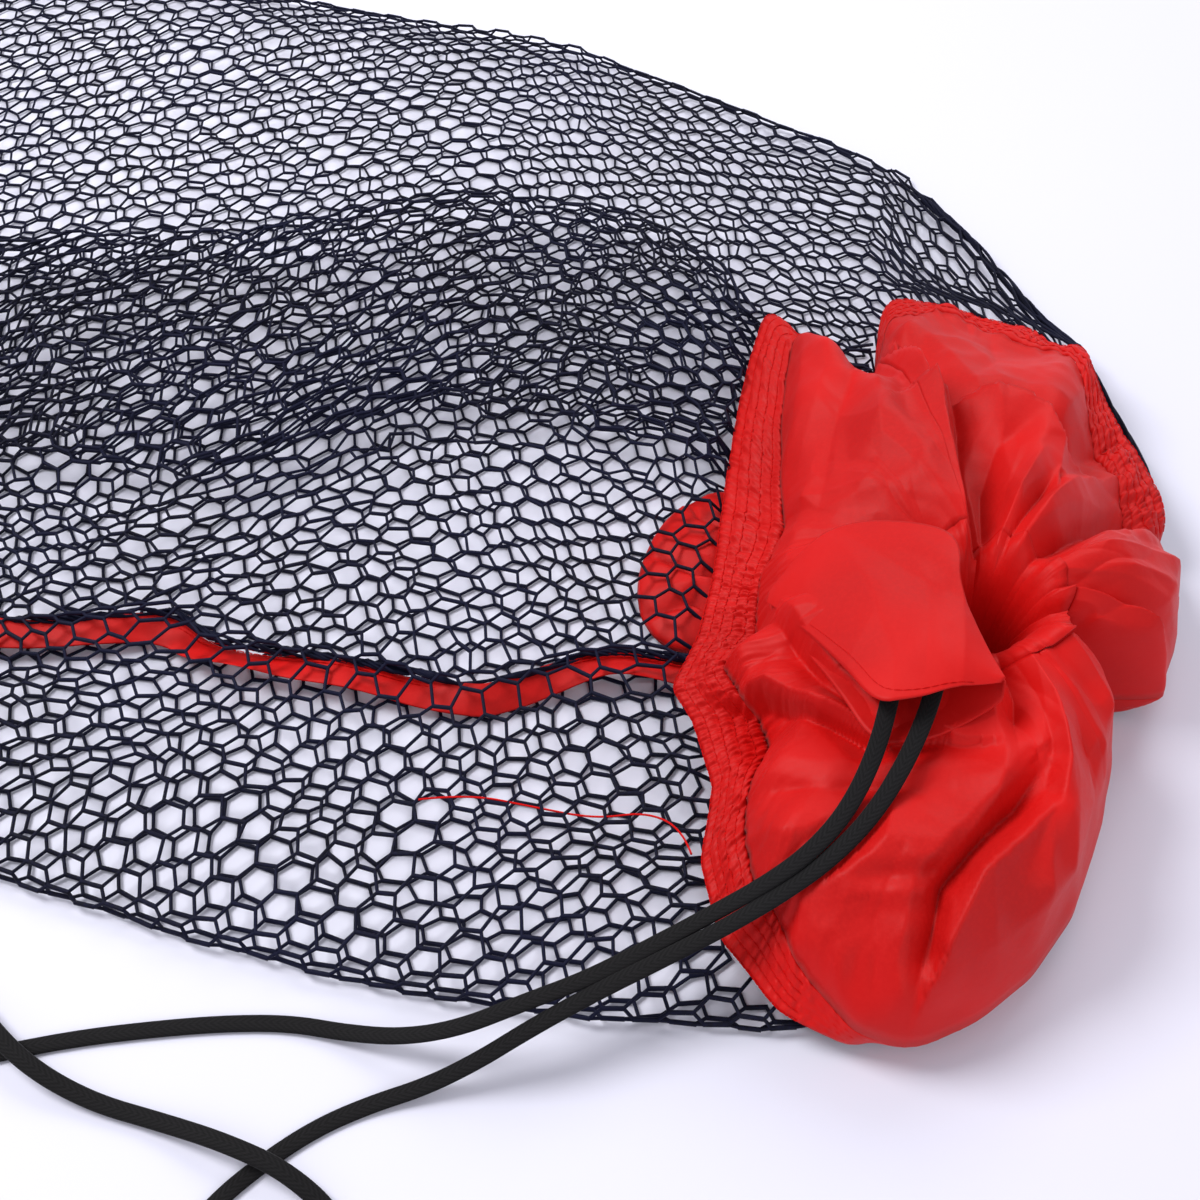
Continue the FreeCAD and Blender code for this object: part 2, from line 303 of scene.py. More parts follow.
def material(name):
    """Each material is made once, the first time that a piece asks for it."""
    makers = {"braid": braid_material, "net": net_material, "fabric": fabric_material,
              "thread": thread_material, "floor": floor_material}
    if name not in MATERIALS:
        MATERIALS[name] = makers[name]()
    return MATERIALS[name]


# ---------------------------------------------------------------- meshes
def add_piece(name, mesh, finish, body):
    """The object of a finished mesh, with its material, its body and its colour slot."""
    obj = bpy.data.objects.new(name, mesh)
    bpy.context.scene.collection.objects.link(obj)
    mesh.materials.append(material(finish))
    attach(obj, body)
    return obj


def piece(name, points, faces, finish, body):
    """A smooth-shaded piece from its points and faces."""
    mesh = bpy.data.meshes.new(name)
    mesh.from_pydata([tuple(point) for point in points], [], [tuple(face) for face in faces])
    mesh.update()
    mesh.polygons.foreach_set("use_smooth", [True] * len(mesh.polygons))
    return add_piece(name, mesh, finish, body)


def lay_uv(obj, uv_of_vertex):
    """One UV map from a (u, v) for each vertex, in metres on the cloth."""
    layer = obj.data.uv_layers.new(name="UVMap")
    corner = np.empty(len(obj.data.loops), np.int32)
    obj.data.loops.foreach_get("vertex_index", corner)
    layer.data.foreach_set("uv", np.asarray(uv_of_vertex, float)[corner].ravel())


def smooth_line(points, closed=False):
    """Points along the smooth spline whose control points are given."""
    curve = bpy.data.curves.new("line", "CURVE")
    curve.dimensions = "3D"
    curve.resolution_u = 12
    spline = curve.splines.new("NURBS")
    spline.points.add(len(points) - 1)
    for control, point in zip(spline.points, points):
        control.co = (*point, 1.0)
    spline.order_u = 3
    spline.use_cyclic_u = closed
    spline.use_endpoint_u = not closed
    obj = bpy.data.objects.new("line", curve)
    bpy.context.scene.collection.objects.link(obj)
    bpy.context.view_layer.update()
    mesh = bpy.data.meshes.new_from_object(obj.evaluated_get(
        bpy.context.evaluated_depsgraph_get()))
    line = np.array([vertex.co for vertex in mesh.vertices])
    bpy.data.objects.remove(obj)
    bpy.data.meshes.remove(mesh)
    return line


def frames_along(line, up=(0, 0, 1)):
    """Unit direction, side and upward vectors at each point of a line."""
    ahead = np.gradient(line, axis=0)
    ahead /= np.linalg.norm(ahead, axis=1)[:, None]
    side = np.cross(np.array(up, float)[None], ahead)
    side /= np.maximum(np.linalg.norm(side, axis=1), 1e-9)[:, None]
    return ahead, side, np.cross(ahead, side)


def flat_tube(name, line, width, thickness, finish, body, twist=0.0):
    """A closed flat tube with rounded edges, following a line."""
    ring = 12
    _, side, over = frames_along(line)
    turn = np.linspace(0, 2 * math.pi, ring, endpoint=False)
    round_x = np.sign(np.cos(turn)) * np.abs(np.cos(turn)) ** 0.7
    round_z = np.sign(np.sin(turn)) * np.abs(np.sin(turn)) ** 0.7
    lean = np.asarray(twist) * np.ones(len(line))
    cos, sin = np.cos(lean)[:, None], np.sin(lean)[:, None]
    side, over = side * cos + over * sin, over * cos - side * sin
    rings = (line[:, None] + side[:, None] * (round_x * width / 2)[None, :, None]
             + over[:, None] * (round_z * thickness / 2)[None, :, None])
    points = np.vstack([rings.reshape(-1, 3), line[:1], line[-1:]])
    faces = []
    count = len(line)
    for i in range(count - 1):
        for j in range(ring):
            k = (j + 1) % ring
            faces.append((i * ring + j, i * ring + k, (i + 1) * ring + k, (i + 1) * ring + j))
    first, last = count * ring, count * ring + 1
    for j in range(ring):
        k = (j + 1) % ring
        faces.append((first, k, j))
        faces.append((last, (count - 1) * ring + j, (count - 1) * ring + k))
    obj = piece(name, points, faces, finish, body)
    steps = np.linalg.norm(np.diff(line, axis=0), axis=1)
    along = np.concatenate([[0], np.cumsum(steps)])
    across = (1 + np.cos(turn)) / 2
    uv = [(u, v) for u in along for v in across] + [(0, 0.5), (along[-1], 0.5)]
    lay_uv(obj, uv)
    bm = bmesh.new()
    bm.from_mesh(obj.data)
    bmesh.ops.recalc_face_normals(bm, faces=bm.faces)
    bm.to_mesh(obj.data)
    bm.free()
    return obj


def braid(name, line, width, thickness):
    return flat_tube(name, line, width, thickness, "braid", "drawcord")


# ---------------------------------------------------------------- the drawcord
LEG_A = [
    (354, -112, 73), (354, -136, 73), (355, -159, 72.4), (355, -179, 67), (351, -198, 59),
    (343, -212, 51.5), (332, -222, 42.5), (318, -232, 33), (302, -246, 27), (285, -263, 25),
    (268, -277, 24.5), (251, -288, 18), (233, -293, 9.5), (214, -295, 3.8), (194, -297, 2.2),
    (173, -304, 2.2), (152, -313, 2.2), (131, -323, 2.2), (110, -335, 2.2), (88, -349, 2.2),
    (66, -352, 2.2), (51, -337, 2.2), (60, -318, 2.2), (82, -317, 4.5), (102, -329, 8),
    (123, -338, 7.5), (146, -341, 3.5), (170, -340, 3.5), (193, -341, 8), (215, -343, 8),
    (235, -350, 3.5), (247, -366, 2.2), (244, -385, 2.4), (231, -398, 3.4), (219, -401, 4.2),
]
LEG_B = [
    (368, -112, 73), (368, -136, 73), (368, -159, 72.4), (365, -179, 67), (359, -198, 60),
    (349.5, -213, 52), (337.5, -224.5, 43), (322.5, -236.5, 33.5), (305.5, -250.5, 27),
    (288.5, -267, 25), (273, -282.5, 21.5), (259, -294, 12), (245, -304, 4.6), (230, -314, 2.2),
    (217, -326, 2.2), (206, -341, 2.2), (197, -357, 2.2), (192, -376, 2.4), (198, -392, 3.4),
    (211, -401, 4.2),
]
TAIL_A = [(212, -404, 4.2), (207, -414, 2.6), (199, -422, 2.2), (189, -427, 2.2)]
TAIL_B = [(221, -404, 4.2), (227, -413, 2.6), (235, -420, 2.2), (246, -423, 2.2)]
LOWERED = 1.1        # the flat braid lies this much lower than the round section of its solid


def cord_line(points):
    return smooth_line([(x * MM, y * MM, (z - LOWERED) * MM) for x, y, z in points])


def overhand_knot():
    """Both ends tied together in one overhand knot: a drawn-up trefoil of doubled cord."""
    low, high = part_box("drawcord_knot")
    middle = np.array((low + high) / 2)
    half = np.array((high - low) / 2)
    thick = sizes().cord_thickness
    turn = np.linspace(0, 2 * math.pi, 14, endpoint=False)
    x = np.sin(turn) + 2 * np.sin(2 * turn)
    y = np.cos(turn) - 2 * np.cos(2 * turn)
    z = -np.sin(3 * turn)
    loops = []
    for offset, scale in ((-0.16, 1.0), (0.16, 0.86)):
        reach = half * np.array((0.27, 0.27, 0.5)) * scale
        points = np.stack([x, y, z + offset], axis=1) * reach + middle
        line = smooth_line([tuple(point) for point in points], closed=True)
        loops.append(np.vstack([line, line[:1]]))
    pieces = []
    for i, line in enumerate(loops):
        pieces.append(braid("drawcord_knot_turn_%d" % (i + 1), line, thick * 2.0, thick * 1.3))
    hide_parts("drawcord_knot")
    return pieces


class SACK_OT_drawcord(bpy.types.Operator):
    """Add the two legs of the drawcord, their knot and its tails"""
    bl_idname = "sack.drawcord"
    bl_label = "Drawcord"

    def execute(self, context):
        width, thick = sizes().cord_width, sizes().cord_thickness
        tails = []
        for name, points in (("drawcord_tail_a", TAIL_A), ("drawcord_tail_b", TAIL_B)):
            line = cord_line(points)
            tail = braid(name + "_braid", line, width * 0.9, thick)
            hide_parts(name)
            tails.append(tail)
        knot = overhand_knot()
        for name, points, on_it in (("drawcord_leg_a", LEG_A, knot + tails),
                                    ("drawcord_leg_b", LEG_B, [])):
            line = cord_line(points)
            leg = braid(name + "_braid", line, width, thick)
            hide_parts(name)
        return {"FINISHED"}


# ---------------------------------------------------------------- the netting
NEAR_EDGE = ((-447, -232), (-438, -262), (-405, -278), (-250, -281), (0, -280), (150, -282),
             (225, -278), (290, -267), (350, -252), (395, -224), (425, -180), (446, -110))
FAR_EDGE = ((-447, 232), (-438, 262), (-405, 278), (-250, 279), (0, 280), (100, 279),
            (180, 258), (250, 237), (292, 224), (330, 187), (366, 140), (398, 103), (424, 62),
            (446, -10))
SIDE_SEAM = ((-436, -206), (-330, -204), (-250, -210), (-160, -201), (-90, -205), (-30, -196),
             (21, -184), (52, -172), (80, -157), (100, -168), (154, -160), (205, -156),
             (214, -152), (238, -130), (258, -122), (282, -119))
COLLAR_EDGE = ((257, 85), (259, 50), (261, 21), (268, -26), (277, -81), (280, -112),
               (277, -139), (288, -151), (303, -175), (307, -206), (321, -232), (345, -250),
               (369, -256), (391, -247), (405, -234), (420, -213), (429, -188), (434, -151),
               (434, -127), (423, -109), (407, -98), (428, -91), (448, -89), (451, -62),
               (450, -38), (444, -16), (437, 5), (424, 30),
               (411, 52), (396, 90), (370, 96), (344, 99), (306, 99), (309, 72), (313, 48),
               (316, 33), (284, 58))


def edge_at(edge, x):
    table = np.array(edge, float) * MM
    return np.interp(x, table[:, 0], table[:, 1])


def wander(points, scale, seed):
    """Smooth noise, about -1 to 1, at each of a set of points."""
    shift = Vector((seed * 7.3, seed * 3.1, seed * 1.7))
    return np.array([noise.noise(Vector(point) / scale + shift) for point in points])


def inside_outline(x, y, outline, grow=0.0):
    """True where a point lies inside a closed outline, grown about its middle."""
    corner = np.array(outline, float) * MM
    middle = corner.mean(0)
    away = corner - middle
    corner = corner + away / np.linalg.norm(away, axis=1)[:, None] * grow
    inside = np.zeros(len(x), bool)
    for (x0, y0), (x1, y1) in zip(corner, np.roll(corner, -1, axis=0)):
        crosses = (y0 > y) != (y1 > y)
        reach = x0 + (y - y0) * (x1 - x0) / (y1 - y0 if y1 != y0 else 1e-9)
        inside ^= crosses & (x < reach)
    return inside


PLEAT_FAR = ((-447, -60), (-300, -46), (-180, -20), (-100, 13), (-59, 35), (-1, 57), (47, 90),
             (100, 114), (155, 133), (190, 131), (226, 112), (256, 84), (280, 66))
PLEAT_NEAR = ((-447, -186), (-300, -176), (-150, -150), (-28, -105), (25, -97), (69, -84),
              (99, -51), (133, -24), (192, -14), (248, -22), (280, -26))
SHARES = (0.40, 0.64, 0.81)    # of the net's rows: under, far part above, pleat; the rest near
NET_SPAN = (-446, 445)         # the first and the last knots along the sack
FIRST_HEIGHT = 4.2 * MM        # what lies higher than this is the upper layer's
PLEAT_HEIGHT = 12 * MM         # and what lies higher than this is the pleat's


def section_path(x):
    """The sack's cross-section at x, with the share of the net's rows used up at each point."""
    near, far = edge_at(NEAR_EDGE, x), edge_at(FAR_EDGE, x)
    back, front = edge_at(PLEAT_FAR, x), edge_at(PLEAT_NEAR, x)
    under, above, folded = SHARES
    rise = 4 * MM
    crown = 11 * MM
    step = 2.0 * MM
    middle = (above + folded) / 2
    return np.array([
        (0.0, near + rise, 1.6 * MM), (0.02, near + 30 * MM, 1.2 * MM),
        (under - 0.02, far - 30 * MM, 1.2 * MM), (under, far - rise, 1.6 * MM),
        (under + 0.008, far, 3.8 * MM), (under + 0.016, far - rise, 6 * MM),
        (under + 0.05, far - 45 * MM, crown), (above - 0.004, front + rise, crown),
        (above, front, crown + step), (above + 0.004, front + rise, crown + 2 * step),
        (middle - 0.004, back - rise, crown + 2 * step), (middle, back, crown + 3 * step),
        (middle + 0.004, back - rise, crown + 4 * step),
        (folded, front + rise, crown + 4 * step), (folded + 0.02, front - 22 * MM, crown),
        (0.965, near + 38 * MM, crown * 0.85), (0.984, near + rise, 6 * MM),
        (0.992, near, 3.8 * MM), (1.0, near + rise, 1.6 * MM)])


def section_points(x, shares):
    """Points at given shares (0 to 1) of the way round the cross-section at x."""
    path = section_path(x)
    fine = np.linspace(0, 1, 720, endpoint=False)
    ring = np.stack([np.interp(fine, path[:, 0], path[:, k]) for k in (1, 2)], 1)
    spread = np.exp(-0.5 * (np.arange(-5, 6) / 2.0) ** 2)
    spread /= spread.sum()
    padded = np.vstack([ring[-5:], ring, ring[:5]])
    ring = np.stack([np.convolve(padded[:, k], spread, "valid") for k in (0, 1)], 1)
    return np.stack([np.interp(shares % 1.0, fine, ring[:, k], period=1.0) for k in (0, 1)], 1)


def knot_places(rows_across):
    """The two ends of every long bar, on the sack: index by column, row and end."""
    side = sizes().cell
    low, high = NET_SPAN[0] * MM, NET_SPAN[1] * MM
    columns = int((high - low) / (1.5 * side))
    shares = (np.arange(rows_across) + 0.5) / rows_across
    places = np.zeros((columns, rows_across, 2, 3))
    for i in range(columns):
        centre = low + (i + 0.5) * 1.5 * side
        offset = 0.5 / rows_across * (i % 2)
        for end in (0, 1):
            x = centre + (end - 0.5) * side
            ring = section_points(min(max(x, low), high), shares + offset)
            places[i, :, end, 0] = x
            places[i, :, end, 1:] = ring
    return places


def disturb(places, seed):
    """Net never lies evenly: cells stretch, lean and close up."""
    flat = places.reshape(-1, 3)
    rng = np.random.default_rng(seed)
    layer = (flat[:, 2] > 4 * MM) * 40.0 + (flat[:, 2] > PLEAT_HEIGHT) * 25.0
    probe = flat.copy()
    probe[:, 2] = layer * MM * 8
    wide_x = wander(probe, 0.11, seed) * 9 * MM
    wide_y = wander(probe, 0.12, seed + 1) * 9 * MM
    folded = 1 + 0.9 * (flat[:, 2] > PLEAT_HEIGHT)
    tight_x = wander(probe, 0.030, seed + 2) * 3.6 * MM * folded
    tight_y = wander(probe, 0.028, seed + 3) * 3.4 * MM * folded
    tight_x += wander(probe, 0.014, seed + 6) * 1.8 * MM * folded
    tight_y += wander(probe, 0.014, seed + 7) * 1.8 * MM * folded
    lift = (wander(probe, 0.09, seed + 4) + 0.5) * 4 * MM * (flat[:, 2] > 5 * MM)
    lift += wander(probe, 0.03, seed + 5) * 1.5 * MM * (flat[:, 2] > 5 * MM)
    near = edge_at(NEAR_EDGE, flat[:, 0])
    far = edge_at(FAR_EDGE, flat[:, 0])
    inner = np.minimum(flat[:, 1] - near, far - flat[:, 1]) / (45 * MM)
    ends = np.minimum(flat[:, 0] + 447 * MM, 447 * MM - flat[:, 0]) / (30 * MM)
    calm = np.clip(np.minimum(inner, ends), 0.12, 1)
    flat[:, 0] += (wide_x + tight_x) * calm + rng.normal(0, 0.35 * MM, len(flat))
    flat[:, 1] += (wide_y + tight_y) * calm + rng.normal(0, 0.35 * MM, len(flat))
    flat[:, 2] = np.maximum(flat[:, 2] + lift, 0.9 * MM)
    return flat.reshape(places.shape)


def net_bars(places):
    """Start point, end point and kind (True for a long bar) of every bar of the net."""
    columns, rows = places.shape[:2]
    starts, ends, long_bar = [], [], []
    index = np.arange(columns * rows * 2).reshape(columns, rows, 2)
    for i in range(columns):
        starts.append(index[i, :, 0])
        ends.append(index[i, :, 1])
        long_bar.append(np.ones(rows, bool))
        if i == columns - 1:
            break
        shift = 1 if i % 2 == 0 else 0
        for step in (shift, shift - 1):
            starts.append(index[i, :, 1])
            ends.append(np.roll(index[i + 1, :, 0], step))
            long_bar.append(np.zeros(rows, bool))
    return np.concatenate(starts), np.concatenate(ends), np.concatenate(long_bar)


def bar_mesh(start, end, radius, sides=5):
    """Vertices and faces of one short many-sided bar per pair of points."""
    ahead = end - start
    length = np.linalg.norm(ahead, axis=1)
    ahead /= np.maximum(length, 1e-9)[:, None]
    start = start - ahead * (radius * 0.55)[:, None]
    end = end + ahead * (radius * 0.55)[:, None]
    up = np.zeros_like(ahead)
    up[:, 2] = 1
    side = np.cross(up, ahead)
    side /= np.maximum(np.linalg.norm(side, axis=1), 1e-9)[:, None]
    over = np.cross(ahead, side)
    turn = np.linspace(0, 2 * math.pi, sides, endpoint=False)
    ring = (side[:, None] * np.cos(turn)[None, :, None]
            + over[:, None] * np.sin(turn)[None, :, None]) * radius[:, None, None]
    points = np.concatenate([start[:, None] + ring, end[:, None] + ring], axis=1)
    base = np.arange(len(start)) * 2 * sides
    j = np.arange(sides)
    k = (j + 1) % sides
    quads = np.stack([base[:, None] + j, base[:, None] + k, base[:, None] + k + sides,
                      base[:, None] + j + sides], axis=2)
    return points.reshape(-1, 3), quads.reshape(-1, 4)


def fast_piece(name, points, quads, finish, body):
    """As piece(), for meshes of many thousand four-sided faces."""
    mesh = bpy.data.meshes.new(name)
    mesh.vertices.add(len(points))
    mesh.vertices.foreach_set("co", points.ravel())
    mesh.loops.add(quads.size)
    mesh.loops.foreach_set("vertex_index", quads.ravel())
    mesh.polygons.add(len(quads))
    mesh.polygons.foreach_set("loop_start", np.arange(len(quads)) * 4)
    mesh.polygons.foreach_set("use_smooth", np.ones(len(quads), bool))
    mesh.update(calc_edges=True)
    mesh.validate()
    return add_piece(name, mesh, finish, body)


NET_ROWS = 112
STRETCHED = 0.84           # the bars are drawn thinner where the netting is pulled out flat
NET_END = 401 * MM         # past this the netting lies under the collar
UNDER_BAND = 9.5 * MM      # the netting's greatest height where it passes below the band
BAND_LIFT = 14 * MM        # how far the upper layer rises to the far part of the band
SEAM_HEIGHT = 7.5 * MM     # of the side seam, above the floor
LAYERS = (("net_lower_layer", ((0.0, SHARES[0]),), (0.9, 0.57)),
          ("net_folded_pleat", ((SHARES[1], SHARES[2]),), (0.7, 0.25)),
          ("net_upper_layer", ((SHARES[0], SHARES[1]), (SHARES[2], 1.0)), (0.9, 0.57)))
GATHERS = (
    (((284, 205), (292, 178), (302, 152), (318, 122)), 34, 0.62),
    (((133, -20), (100, -50), (69, -84), (33, -147), (17, -177)), 20, 0.5),
    (((-160, -190), (-60, -110), (20, -98)), 22, 0.4),
    (SIDE_SEAM, 15, 0.7),
)


def gather(flat, line, reach, pull):
    """Draws the upper net in towards a line, as a fold or a seam does."""
    line = np.array(line, float) * MM
    upper = np.nonzero(flat[:, 2] > FIRST_HEIGHT)[0]
    spot = flat[upper, :2]
    best = np.full(len(spot), 1e9)
    move = np.zeros_like(spot)
    for a, b in zip(line, line[1:]):
        along = np.clip(((spot - a) @ (b - a)) / ((b - a) @ (b - a)), 0, 1)
        offset = a + along[:, None] * (b - a) - spot
        distance = np.linalg.norm(offset, axis=1)
        nearer = distance < best
        best[nearer] = distance[nearer]
        move[nearer] = offset[nearer]
    share = np.clip(1 - best / (reach * MM), 0, 1)
    share = share * share * (3 - 2 * share)
    flat[upper, :2] += move * (share * pull)[:, None]
    flat[upper, 2] += share * pull * 1.5 * MM


def close_base(flat):
    """Brings both layers together at the closed end, into the binding tape."""
    low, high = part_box("base_seam_binding")
    middle = (low.z + high.z) / 2
    open_share = np.clip((flat[:, 0] - high.x) / (45 * MM), 0, 1) ** 0.7
    flat[:, 2] = middle + (flat[:, 2] - middle) * open_share
    flat[:, 0] = np.maximum(flat[:, 0], low.x + 1.6 * MM)


def rise_to_collar(flat):
    """Lifts the upper layer to the far part of the band, where it is sewn on."""
    away = flat[:, :2] - np.array(MOUTH) * MM
    bearing = np.arctan2(away[:, 1], away[:, 0])
    gap = np.linalg.norm(away, axis=1) - edge_reach(bearing)
    share = np.clip(1 - np.abs(gap) / (34 * MM), 0, 1) ** 1.6 * between(bearing, 44, 112, 12)
    upper = flat[:, 2] > FIRST_HEIGHT
    flat[upper, 2] += share[upper] * BAND_LIFT


NET_END_EDGE = ((302, 203), (331, 181), (366, 138), (389, 111), (400, 95), (413, 72),
                (426, 46), (435, 24), (434, 4), (426, -10))


def rolled_edge(line, height, count):
    """Strands of the net's cut edge, rolled together along a line."""
    middle = resample(smooth_line([(x * MM, y * MM, height) for x, y in line]), count)
    starts, ends = [], []
    for strand in range(6):
        turn = middle[:, 0] * (150 + 22 * strand) + strand * 1.7
        line = middle.copy()
        line[:, 1] += 1.0 * MM + 1.4 * MM * np.cos(turn)
        line[:, 2] += 1.6 * MM * np.sin(turn)
        starts.append(line[:-3:3])
        ends.append(line[3::3])
    return np.concatenate(starts), np.concatenate(ends)


class SACK_OT_netting(bpy.types.Operator):
    """Add the netting: one tube of six-sided cells lying in two layers, with a flat pleat"""
    bl_idname = "sack.netting"
    bl_label = "Netting"

    def execute(self, context):
        places = disturb(knot_places(NET_ROWS), seed=3)
        flat = places.reshape(-1, 3)
        for line, reach, pull in GATHERS:
            gather(flat, line, reach, pull)
        hidden = inside_outline(flat[:, 0], flat[:, 1], COLLAR_EDGE, -7 * MM)
        hidden |= flat[:, 0] > NET_END
        tucked = inside_outline(flat[:, 0], flat[:, 1], COLLAR_EDGE, 2 * MM)
        flat[tucked, 2] = np.minimum(flat[tucked, 2], UNDER_BAND)
        rise_to_collar(flat)
        for line in (cord_line(LEG_A), cord_line(LEG_B)):
            flat[:] = press_under(flat, line)
        close_base(flat)
        start, end, long_bar = net_bars(places)
        rolls = (rolled_edge(SIDE_SEAM, SEAM_HEIGHT + 2 * MM, 420),
                 rolled_edge(NET_END_EDGE, 6 * MM, 270))
        roll_start, roll_end = [np.concatenate(side) for side in zip(*rolls)]
        rise_to_collar(roll_start)
        rise_to_collar(roll_end)
        keep = ~(hidden[start] | hidden[end])
        row = (start // 2) % NET_ROWS
        share = (row + 0.5) / NET_ROWS
        radius = np.where(long_bar, sizes().long_bar, sizes().cross_bar)
        radius = radius * np.interp(flat[start, 1], (-150 * MM, 60 * MM), (1.0, STRETCHED))
        for node_name, spans, _ in LAYERS:
            mine = keep & np.any([(share >= a) & (share < b) for a, b in spans], axis=0)
            starts, ends, thick = flat[start[mine]], flat[end[mine]], radius[mine]
            if node_name == "net_upper_layer":
                starts = np.concatenate([starts, roll_start])
                ends = np.concatenate([ends, roll_end])
                thick = np.concatenate([thick, np.full(len(roll_start), sizes().cross_bar)])
            points, quads = bar_mesh(starts, ends, thick)
            net = fast_piece(node_name + "_bars", points, quads, "net", "sack")
            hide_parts(node_name)
        return {"FINISHED"}


# ---------------------------------------------------------------- the collar
MOUTH = (378, -100)
PANEL_TURNS = 900
PANEL_ENDS = (4.0, 114.6)       # bearings of the two gaps between the near and the far panel
BAND_TURNS = 2400
BAND_ROWS = 5
BAND_WIDTH = 20 * MM
CLOTH = 0.5 * MM                # thickness of the collar's fabric
PUCKERS = 34                    # fine gathers round the mouth
CREASES = 34                    # small straight creases over the whole collar
LIP_REACH = 30 * MM             # the gathered hem reaches this far from the middle of the mouth
HEM_PROFILE = ((0.6, 25), (4, 26), (8, 28), (10.5, 32), (12.5, 37), (14.5, 43), (16.5, 49),
               (19, 55), (22, 60), (25.5, 63), (30, 64))     # distance from the middle, height

# Folds of the collar: line from the mouth outwards or from left to right, height (below 0 is a
# valley), width of its left and right slopes, and its strength at its two ends, in millimetres.
FOLDS = (
    # the left lobe stands over the gap in the far edge
    (((367, -78), (361, -60), (353, -38), (347, -14), (334, 14), (318, 34)), 11, 36, 3, 0.7, 1),
    (((371, -76), (366, -58), (359, -36), (353, -10), (341, 18), (324, 44)), -12, 3, 17, 0.7, 1),
    (((304, -90), (295, -40), (288, 10), (281, 50)), 4, 8, 22, 0.3, 1),
    (((314, -74), (309, -30), (308, 5), (303, 36)), -5, 10, 20, 0.2, 0.8),
    (((352, -62), (330, -40), (322, -5), (316, 22)), 3, 12, 10, 0.2, 0.6),
    (((310, -84), (335, -78), (362, -80)), -7, 13, 10, 0.6, 1),
    # the pocket beside the fold over the cord, and the edge that hangs over the near lobe
    (((302, -112), (316, -130), (334, -150), (352, -166)), -9, 6, 12, 0.3, 1),
    (((292, -141), (314, -143), (333, -156), (352, -164)), 6, 8, 3, 0.3, 1),
    (((290, -146), (312, -148), (332, -162), (352, -171), (374, -166)), -10, 3, 20, 0.3, 0.6),
    # the near lobe
    (((312, -198), (345, -203), (366, -202), (386, -198)), 5, 14, 22, 0.3, 0.3),
    (((318, -186), (340, -188), (372, -184)), -5, 10, 9, 0.2, 0.4),
    (((356, -215), (374, -212), (388, -206)), -3, 5, 9, 0.3, 0.2),
    (((392, -116), (404, -138), (411, -158), (412, -172), (405, -188), (395, -204), (390, -226)),
     8, 24, 4, 0.4, 0.8),
    (((406, -164), (402, -182), (391, -200), (384, -214), (385, -232)), -9, 4, 9, 0.2, 0.7),
    (((400, -168), (388, -198), (379, -216), (366, -219)), 4, 4, 20, 0.3, 0.3),
    (((388, -122), (394, -142), (396, -160)), -6, 8, 7, 0.8, 0.2),
    (((412, -140), (424, -158), (428, -176)), -4, 9, 9, 0.3, 0.6),
    (((416, -168), (422, -184), (414, -204)), 4, 8, 12, 0.2, 0.5),
    (((370, -200), (366, -226), (372, -244)), -3, 14, 10, 0.2, 0.5),
    (((338, -208), (340, -224), (352, -240)), 3, 12, 12, 0.2, 0.6),
    # the gap at the right and the far lobe
    (((395, -108), (408, -110), (420, -114), (433, -124)), 6, 4, 16, 0.4, 1),
    (((391, -100), (398, -99), (405, -98), (414, -97)), -13, 6, 5, 0.5, 1),
    (((392, -92), (406, -89), (426, -87), (446, -86)), 6, 7, 4, 0.5, 1),
    (((390, -93), (406, -86), (424, -80), (442, -74)), -6, 6, 8, 0.7, 0.4),
    (((388, -88), (402, -74), (420, -60), (444, -42)), 5, 10, 14, 0.5, 0.8),
    (((386, -84), (397, -66), (410, -42), (428, -18)), -7, 7, 9, 0.9, 0.4),
    (((383, -78), (390, -58), (400, -32), (416, -2)), 6, 8, 12, 0.5, 0.7),
    # the turned-over tier above the mouth
    (((340, -8), (354, 3), (370, 7), (386, 3), (394, -10), (394, -28)), 7, 3, 17, 0.6, 0.5),
    (((342, -1), (356, 9), (371, 13), (390, 9), (400, -6)), -9, 15, 3, 0.6, 0.5),
    (((372, -66), (368, -42), (370, -20), (378, -8)), -6, 9, 9, 0.9, 0.2),
    (((378, -72), (382, -48), (387, -24)), 5, 5, 7, 0.8, 0.3),
    (((380, -76), (387, -54), (392, -36)), -5, 4, 5, 0.9, 0.2),
    (((318, 44), (328, 74), (338, 92)), 4, 8, 16, 0.4, 0.9),
    (((392, 14), (399, 48), (397, 84)), 5, 18, 8, 0.4, 0.9),
    (((352, 18), (362, 50), (358, 88)), -4, 16, 18, 0.3, 0.6),
    (((402, 4), (416, 30), (420, 44)), -5, 8, 8, 0.5, 0.6),
)


def edge_reach(angles):
    """Distance from the mouth to the collar's edge in each direction."""
    corner = (np.array(COLLAR_EDGE, float) - np.array(MOUTH)) * MM
    following = np.roll(corner, -1, axis=0)
    reach = np.zeros(len(angles))
    for i, angle in enumerate(angles):
        ray = np.array((math.cos(angle), math.sin(angle)))
        side = np.array((-ray[1], ray[0]))
        a, b = corner @ side, following @ side
        cut = (a > 0) != (b > 0)
        share = a[cut] / (a[cut] - b[cut])
        reach[i] = ((corner[cut] + share[:, None] * (following[cut] - corner[cut])) @ ray).max()
    return reach


def soften(values, spread):
    """Values round a closed ring, averaged over a few neighbours."""
    half = int(spread * 3)
    weight = np.exp(-0.5 * (np.arange(-half, half + 1) / spread) ** 2)
    padded = np.concatenate([values[-half:], values, values[:half]])
    return np.convolve(padded, weight / weight.sum(), "valid")


def between(angles, low, high, soft=5.0):
    """1 for directions between two bearings in degrees, 0 outside, with soft ends."""
    middle = math.radians((low + high) / 2)
    half = math.radians((high - low) / 2)
    away = np.abs((angles - middle + math.pi) % (2 * math.pi) - math.pi)
    return np.clip((half - away) / math.radians(soft) + 0.5, 0, 1)


